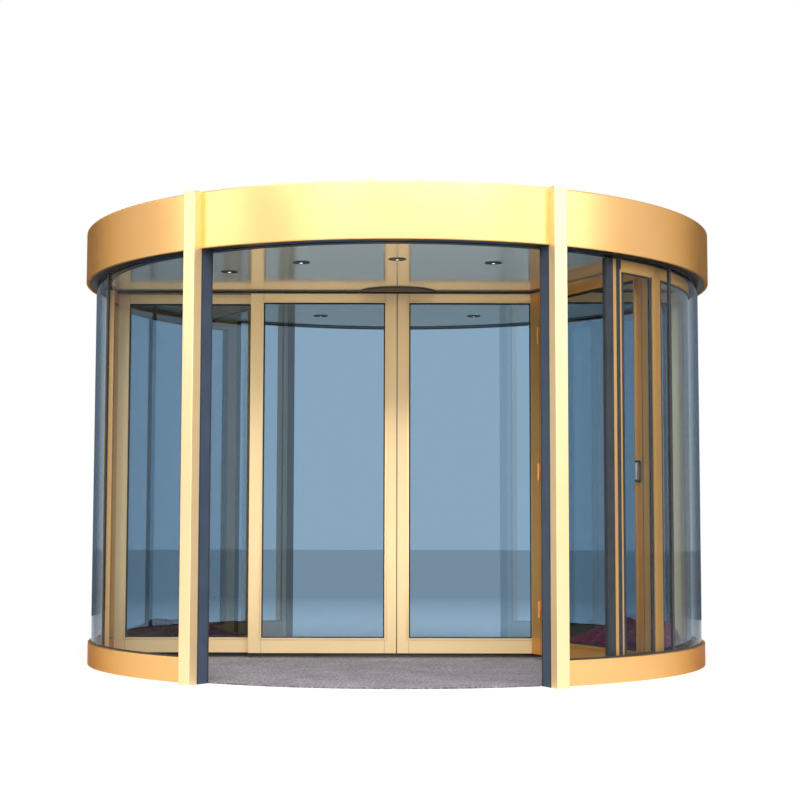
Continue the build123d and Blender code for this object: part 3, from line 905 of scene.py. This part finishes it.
# ---- Wing tip bands ---------------------------------------------------------
# A black strip in the rubber finish lies on the outside of each wing's leading upright, next to the
# seal, and sweeps along the drum glass.
tip_band = 0.040
band_proud = 0.0012
band_depth = 0.003
band_short = 0.001
band_start = 0.001
for side, heading in (("right", 1), ("left", -1)):
    seal = [p for s in solids("wing_seals") for p in s if p.x * heading > 0]
    middle = sum(seal, Vector()) / len(seal)
    uprights = solids(f"wing_stiles_{side}")
    tip = min(uprights, key=lambda s: (sum(s, Vector()) / len(s) - middle).length)
    outside = max(math.hypot(p.x, p.y) for p in tip)
    end = bearings(tip)[1]
    strip = arc_strip(
        outside - band_depth,
        outside + band_proud,
        min(p.z for p in tip) + band_short,
        max(p.z for p in tip) - band_short,
        end - tip_band / outside,
        end - band_start,
    )
    one_piece(f"wing_{side}_tip_band", [strip], black_rubber, "rotor")


# ---- Leaf meeting seals -----------------------------------------------------
# A black rubber lip runs down the closing edge of each sliding leaf, so that the
# two leaves meet without a slit between them.
meeting_gap = 0.0028
lip_depth = 0.016
top_clearance = 0.004
mat_clearance = 0.014
for side in ("right", "left"):
    place, (width, depth, height) = upright_frame(solids(f"leaf_frame_{side}")[0])
    low = place.translation.z - height / 2 - mat_clearance
    shift = Matrix.Translation((-(width + meeting_gap) / 2, 0, -low / 2))
    size = (meeting_gap, lip_depth, height - top_clearance + low)
    seal = block(place @ shift, size, 0.0007)
    one_piece(f"leaf_meeting_seal_{side}", [seal], black_rubber, f"{side}_leaf")


# ---- Showcase door handles --------------------------------------------------
# A small pull on each showcase door: a bright rounded grip between two black
# moulded ends, on a satin steel plate that is screwed to the stile.
chrome = metal_finish("bright_chrome", (0.82, 0.84, 0.86), 0.10, 20, 0.92)
plate_depth = 0.002
plate_wider = 0.008
plate_taller = 0.012
end_height = 0.010
for side in ("right", "left"):
    place = upright_frame(solids(f"showcase_door_glass_{side}")[0])[0]
    local = [place.inverted() @ p for p in solids(f"showcase_handle_{side}")[0]]
    low = [min(p[i] for p in local) for i in range(3)]
    high = [max(p[i] for p in local) for i in range(3)]
    outward = 1 if high[1] > 0 else -1
    face = low[1] if outward > 0 else high[1]
    reach = high[1] - low[1]
    along = (low[0] + high[0]) / 2
    wide = high[0] - low[0]
    tall = high[2] - low[2]
    level = (low[2] + high[2]) / 2

    def stand(depth, height):
        """A place on the handle, out from the stile and up from its middle."""
        spot = (along, face + outward * depth, level + height)
        return place @ Matrix.Translation(spot)

    size = (wide + plate_wider, plate_depth, tall + plate_taller)
    plate = block(stand(plate_depth / 2, 0), size, 0.0008)
    plate.data.materials.append(bare_steel)
    grip = block(
        stand(reach - wide * 0.35, 0), (wide, wide * 0.7, tall - 2 * end_height), 0.0038
    )
    grip.data.materials.append(chrome)
    parts = [plate, grip]
    for end in (-1, 1):
        moulded = block(
            stand((reach + plate_depth) / 2, end * (tall - end_height) / 2),
            (wide * 0.96, reach - plate_depth, end_height),
            0.0025,
        )
        moulded.data.materials.append(black_rubber)
        parts.append(moulded)
    handle = one_piece(
        f"showcase_pull_{side}", parts, None, f"{side}_showcase_door"
    )
    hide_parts(f"showcase_handle_{side}")


# ---- Brushes ----------------------------------------------------------------
# Black nylon bristles in a folded metal holder close the gap under every wing,
# side panel and sliding leaf. Their ends just clear the mat.
def bristle_finish():
    """Fine upright black hairs; their darkest streaks are painted shade for the gaps between them.
    """
    made, wire = new_finish("nylon_bristle")
    place = wire.node("TexCoord", {}, {}, "Object")
    drawn = wire.node("Mapping", {}, {"Vector": place, "Scale": (1500, 1500, 40)})
    hairs = wire.node("TexNoise", {}, {"Vector": drawn, "Scale": 1, "Detail": 2})
    tone = hairs.between((0.006, 0.006, 0.008), (0.07, 0.07, 0.075))
    bump = wire.node("Bump", {}, {"Strength": 0.6, "Distance": 0.0005, "Height": hairs})
    shade(wire, {"Base Color": tone, "Roughness": 0.55 + hairs * 0.2, "Normal": bump})
    return made


tuft_pitch = 0.0028
tuft_width = 0.0023
tuft_flare = 1.12
holder_height = 0.007
wear_height = 0.0006
nylon = bristle_finish()


def ragged(obj, low):
    """Gives the tufts uneven ends that never reach below low."""
    for vertex in obj.data.vertices:
        if vertex.co.z < low + 0.0005:
            wave = math.sin(vertex.co.x * 2113 + 5) * math.sin(vertex.co.y * 1871 + 1)
            vertex.co.z = low + wear_height * (1 + wave)


def tuft(depth, low, high):
    """One tapered tuft that stands at the origin."""
    bpy.ops.object.select_all(action="DESELECT")
    bpy.ops.mesh.primitive_cube_add(size=1, location=(0, 0, (low + high) / 2))
    bristles = bpy.context.object
    bristles.scale = (tuft_width, depth, high - low)
    bare(bristles)
    for vertex in bristles.data.vertices:
        if vertex.co.z < (low + high) / 2:
            vertex.co.y *= tuft_flare
    bristles.data.materials.append(nylon)
    return bristles


def flat_brush(points):
    """Holder and bristles of a straight brush."""
    place, (width, depth, height) = upright_frame(points)
    holder = block(
        place @ Matrix.Translation((0, 0, (height - holder_height) / 2)),
        (width, depth, holder_height),
        0.0006,
    )
    holder.data.materials.append(dark_metal_and_painted_shade)
    bristles = tuft(depth * 0.8, -height / 2, height / 2 - holder_height)
    bristles.location.x = -(width - tuft_width) / 2
    bare(bristles)
    count = int((width - tuft_width) / tuft_pitch) + 1
    modify(
        bristles,
        "ARRAY",
        count=count,
        use_relative_offset=False,
        use_constant_offset=True,
        constant_offset_displace=(tuft_pitch, 0, 0),
    )
    bristles.matrix_world = place
    bare(bristles)
    ragged(bristles, min(p.z for p in points))
    return [holder, bristles]


def curved_brush(points):
    """Holder and bristles of a brush that follows a wing."""
    reach = [math.hypot(p.x, p.y) for p in points]
    inner, outer = min(reach), max(reach)
    low, high = min(p.z for p in points), max(p.z for p in points)
    start, end = bearings(points)
    holder = arc_strip(inner, outer, high - holder_height, high, start, end)
    holder.data.materials.append(dark_metal_and_painted_shade)
    bristles = tuft((outer - inner) * 0.8, low, high - holder_height)
    step = tuft_pitch / outer
    bristles.location.y = -(inner + outer) / 2
    bare(bristles)
    bristles.rotation_euler.z = start + step / 2
    bare(bristles)
    bpy.ops.object.select_all(action="DESELECT")
    bpy.ops.object.empty_add()
    turner = bpy.context.object
    turner.rotation_euler.z = step
    bpy.context.view_layer.update()
    modify(
        bristles,
        "ARRAY",
        count=int((end - start) / step),
        use_relative_offset=False,
        use_object_offset=True,
        offset_object=turner,
    )
    bpy.data.objects.remove(turner)
    ragged(bristles, low)
    return [holder, bristles]


wing_brushes = []
for strip in solids("floor_brushes"):
    wing_brushes += curved_brush(strip) if len(strip) > 8 else flat_brush(strip)
brushes = one_piece("floor_brush_tufts", wing_brushes, None, "rotor")
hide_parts("floor_brushes")
for side in ("right", "left"):
    parts = flat_brush(solids(f"leaf_sweep_{side}")[0])
    sweep = one_piece(f"leaf_brush_{side}", parts, None, f"{side}_leaf")
    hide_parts(f"leaf_sweep_{side}")


# ---- Entry mat --------------------------------------------------------------
# A round loop-pile carpet set flush inside the base rings, grey and mauve threads
# twisted together.
def pile_finish():
    """Loops in twisted threads, darker where feet tread."""
    made, wire = new_finish("mat_pile")
    place = wire.node("TexCoord", {}, {}, "Object")
    loops = wire.node("TexVoronoi", {}, {"Vector": place, "Scale": 160})
    speck = wire.node("TexNoise", {}, {"Vector": place, "Scale": 95, "Detail": 4, "Roughness": 0.7})
    tread = wire.node("TexNoise", {}, {"Vector": place, "Scale": 3.5, "Detail": 4})
    tone = wire.node(
        "ValToRGB",
        {
            "stops": (
                (0.36, (0.050, 0.042, 0.048)),
                (0.50, (0.190, 0.165, 0.182)),
                (0.62, (0.440, 0.400, 0.425)),
            )
        },
        {"Fac": speck * 0.85 + tread * 0.15},
    )
    height = loops + speck * 0.6
    bump = wire.node("Bump", {}, {"Strength": 0.7, "Distance": 0.003, "Height": height})
    shade(
        wire,
        {
            "Base Color": tone,
            "Roughness": 0.86 + speck * 0.12,
            "Sheen Weight": 0.15,
            "Specular IOR Level": 0.2,
            "Normal": bump,
        },
    )
    return made


cover(pile_finish(), "entry_mat")


# ---- Display boards ---------------------------------------------------------
# Dark laminated boards close the foot of each showcase. They are cut to the wedge
# between the rails and carry the goods on show.
def board_finish():
    """Dark wood grain that runs along the board."""
    made, wire = new_finish("dark_board")
    place = wire.node("TexCoord", {}, {}, "Object")
    drawn = wire.node("Mapping", {}, {"Vector": place, "Scale": (60, 6, 60)})
    grain = wire.node("TexNoise", {}, {"Vector": drawn, "Scale": 1, "Detail": 7, "Distortion": 0.8})
    tone = grain.between((0.035, 0.020, 0.014), (0.11, 0.065, 0.04))
    bump = wire.node("Bump", {}, {"Strength": 0.2, "Distance": 0.0003, "Height": grain})
    shade(wire, {"Base Color": tone, "Roughness": 0.42 + grain * 0.2, "Normal": bump})
    return made


cover(board_finish(), "display_boards")


# ---- Display cloths ---------------------------------------------------------
# A length of plum satin is heaped over a low pile in each showcase and tucked in
# along the walls. It lies loose on the display board, in folds.
def cloth_finish():
    """Satin weave: a sheen that turns with the folds, over a fine twill."""
    made, wire = new_finish("plum_satin")
    place = wire.node("TexCoord", {}, {}, "Object")
    patch = wire.node("TexNoise", {}, {"Vector": place, "Scale": 7, "Detail": 4})
    tone = wire.node(
        "ValToRGB",
        {
            "stops": (
                (0.32, (0.070, 0.002, 0.024)),
                (0.55, (0.180, 0.005, 0.060)),
                (0.75, (0.340, 0.012, 0.100)),
            )
        },
        {"Fac": patch},
    )
    twill = wire.node(
        "TexWave",
        {"wave_type": "BANDS", "bands_direction": "DIAGONAL"},
        {"Vector": place, "Scale": 420, "Distortion": 1.5, "Detail": 2},
    )
    bump = wire.node("Bump", {}, {"Strength": 0.25, "Distance": 0.0003, "Height": twill})
    shade(
        wire,
        {
            "Base Color": tone,
            "Roughness": 0.34 + patch * 0.18,
            "Sheen Weight": 0.15,
            "Sheen Roughness": 0.35,
            "Sheen Tint": (0.9, 0.15, 0.45, 1),
            "Specular IOR Level": 0.35,
            "Normal": bump,
        },
    )
    return made


def round_corners(points):
    """The corners of a floor outline in order round it."""
    middle = sum(points, Vector()) / len(points)
    return sorted(points, key=lambda p: math.atan2(p.y - middle.y, p.x - middle.x))


def collide(obj, gap):
    """Makes an object solid to the cloth."""
    obj.modifiers.new("collision", "COLLISION")
    obj.collision.thickness_outer = gap
    obj.collision.cloth_friction = 12
    obj.collision.damping = 0.6


cloth_grid = 0.016
cloth_margin = 0.012
cloth_growth = 0.17
cloth_gap = 0.002
cloth_lift = 0.006
cloth_rise = {"right": 0.105, "left": 0.04}
pile_lift = 0.001
pile_inset = 0.05
pile_slope = 0.17
cloth_frames = 34


def heap(outline, spot, rise):
    """Height of the pile under the cloth at a spot of the board."""
    clear = 10.0
    for first, second in zip(outline, outline[1:] + outline[:1]):
        side = (second - first).to_2d()
        inward = Vector((-side.y, side.x)).normalized()
        clear = min(clear, (spot.to_2d() - first.to_2d()).dot(inward))
    share = min(max((clear - pile_inset) / pile_slope, 0), 1)
    lump = 0.75 + 0.25 * math.sin(11 * spot.x + 2) * math.cos(9 * spot.y - 1)
    return rise * share * share * (3 - 2 * share) * lump


def laid_sheet(outline, level, rise, name):
    """A fine grid cut to the outline and laid over the pile."""
    lows = [min(p[i] for p in outline) for i in (0, 1)]
    highs = [max(p[i] for p in outline) for i in (0, 1)]
    spans = [highs[i] - lows[i] for i in (0, 1)]
    middle = [(highs[i] + lows[i]) / 2 for i in (0, 1)]
    bpy.ops.object.select_all(action="DESELECT")
    bpy.ops.mesh.primitive_grid_add(
        x_subdivisions=round(spans[0] / cloth_grid),
        y_subdivisions=round(spans[1] / cloth_grid),
        size=1,
        location=(*middle, level),
    )
    sheet = bpy.context.object
    sheet.name = name
    sheet.scale = (*spans, 1)
    bare(sheet)
    bpy.ops.object.mode_set(mode="EDIT")
    for first, second in zip(outline, outline[1:] + outline[:1]):
        side = second - first
        inward = Vector((-side.y, side.x, 0)).normalized()
        bpy.ops.mesh.select_all(action="SELECT")
        bpy.ops.mesh.bisect(
            plane_co=first + inward * cloth_margin,
            plane_no=inward,
            clear_inner=True,
        )
    bpy.ops.mesh.select_all(action="SELECT")
    bpy.ops.mesh.remove_doubles(threshold=cloth_grid * 0.4)
    bpy.ops.mesh.select_all(action="SELECT")
    bpy.ops.mesh.quads_convert_to_tris()
    bpy.ops.object.mode_set(mode="OBJECT")
    for vertex in sheet.data.vertices:
        vertex.co.z = level + heap(outline, vertex.co, rise)
    return sheet


def drop(sheet, board, pile):
    """Lets the sheet fall in folds over the pile, held along its edge."""
    rim = set()
    uses = {}
    for face in sheet.data.polygons:
        for key in face.edge_keys:
            uses[key] = uses.get(key, 0) + 1
    for key, count in uses.items():
        if count == 1:
            rim.update(key)
    held = sheet.vertex_groups.new(name="tucked")
    held.add(list(rim), 1.0, "REPLACE")
    collide(board, cloth_gap)
    collide(pile, cloth_gap)
    weave = sheet.modifiers.new("weave", "CLOTH")
    settings = weave.settings
    settings.quality = 8
    settings.mass = 0.25
    settings.tension_stiffness = 18
    settings.compression_stiffness = 18
    settings.shear_stiffness = 6
    settings.bending_stiffness = 0.35
    settings.shrink_min = -cloth_growth
    settings.shrink_max = -cloth_growth
    settings.vertex_group_mass = "tucked"
    settings.pin_stiffness = 1
    weave.collision_settings.distance_min = cloth_gap
    weave.collision_settings.use_self_collision = True
    weave.collision_settings.self_distance_min = 0.003
    weave.collision_settings.self_friction = 4
    weave.point_cache.frame_start = 1
    weave.point_cache.frame_end = cloth_frames
    for step in range(1, cloth_frames + 1):
        bpy.context.scene.frame_set(step)
    bpy.ops.object.select_all(action="DESELECT")
    sheet.select_set(True)
    bpy.context.view_layer.objects.active = sheet
    bpy.ops.object.modifier_apply(modifier=weave.name)
    bpy.context.scene.frame_set(1)


plum_satin = cloth_finish()
board_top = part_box("display_boards")[1].z
for side, rise in cloth_rise.items():
    corners = [p for p in solids(f"display_cloth_{side}")[0] if p.z < board_top + 0.001]
    outline = round_corners([Vector((p.x, p.y, 0)) for p in corners])
    sheet = laid_sheet(outline, board_top + cloth_lift, rise, f"display_cloth_{side}_satin")
    grown = 1 + cloth_growth
    pile = laid_sheet(outline, board_top + pile_lift, rise, "pile")
    bpy.ops.object.select_all(action="DESELECT")
    bpy.ops.mesh.primitive_plane_add(size=6, location=(0, 0, board_top))
    board = bpy.context.object
    drop(sheet, board, pile)
    bpy.data.objects.remove(pile)
    bpy.data.objects.remove(board)
    modify(sheet, "SUBSURF", levels=1, render_levels=1)
    satin = one_piece(sheet.name, [sheet], plum_satin, "rotor")
    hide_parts(f"display_cloth_{side}")
    width = max(p.x for p in outline) - min(p.x for p in outline)
    width * grown
